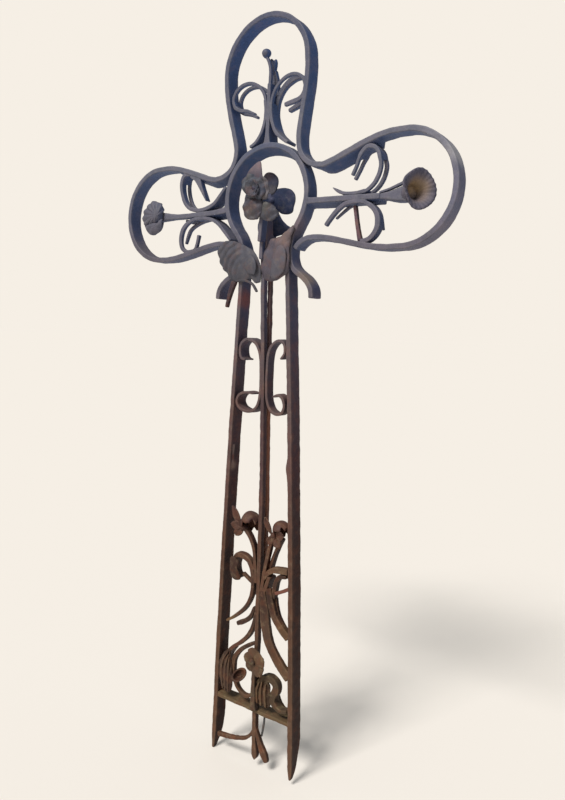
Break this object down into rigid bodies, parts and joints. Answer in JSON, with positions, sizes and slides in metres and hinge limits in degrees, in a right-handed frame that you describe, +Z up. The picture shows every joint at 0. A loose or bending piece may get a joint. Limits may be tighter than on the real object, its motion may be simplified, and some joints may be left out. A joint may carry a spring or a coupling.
{
  "type": "wrought iron grave cross",
  "caption": "Tall, thin wrought iron grave cross of flat bar, with lobed arms round a ring, forged scrolls, leaves and flowers, and two pointed legs to set in the ground or a stone.",
  "frame": {"origin": "on the ground line, midway between the legs and midway through the bars, where the points of the legs start; the points go 33 mm below it", "axes": "+Z up along the shaft, +X across the arms to the viewer's right, +Y to the back; the front face with the front flower looks to -Y"},
  "size_m": [0.675, 0.0845, 1.3038],
  "materials": {
    "upper_iron": "weathered dark slate wrought iron, rusted on the edges",
    "middle_iron": "weathered dark purplish brown wrought iron",
    "lower_iron": "weathered brown wrought iron with rust",
    "mossy_iron": "dusty khaki-brown weathered wrought iron",
    "rusty_iron": "rusted red-brown wrought iron"
  },
  "bodies": {
    "root": {"trefoil_outline": "upper_iron", "keyhole_ring": "upper_iron", "left_leg": "middle_iron", "right_leg": "middle_iron", "bottom_rail": "mossy_iron", "centre_stem": "middle_iron", "rear_stem": "rusty_iron", "top_stem": "upper_iron", "top_left_scroll": "upper_iron", "top_right_scroll": "upper_iron", "left_arm_stem": "upper_iron", "left_trumpet": "upper_iron", "left_upper_scroll": "upper_iron", "left_lower_scroll": "upper_iron", "right_arm_stem": "upper_iron", "right_trumpet": "upper_iron", "right_upper_scroll": "upper_iron", "right_lower_scroll": "upper_iron", "right_arm_strut": "rusty_iron", "front_flower": "middle_iron", "rear_flower": "upper_iron", "left_neck_leaf": "middle_iron", "right_neck_leaf": "middle_iron", "neck_tendril": "rusty_iron", "left_lyre": "middle_iron", "right_lyre": "middle_iron", "left_shaft_flower": "lower_iron", "right_shaft_flower": "lower_iron", "left_tendril": "lower_iron", "right_tendril": "lower_iron", "left_strap": "lower_iron", "right_strap": "lower_iron", "rosette": "mossy_iron", "cup_bud_scroll": "lower_iron", "left_foot_leaf": "lower_iron", "right_foot_leaf": "mossy_iron", "left_root": "rusty_iron", "right_root": "rusty_iron", "root_rod": "lower_iron"}
  },
  "joints": []
}
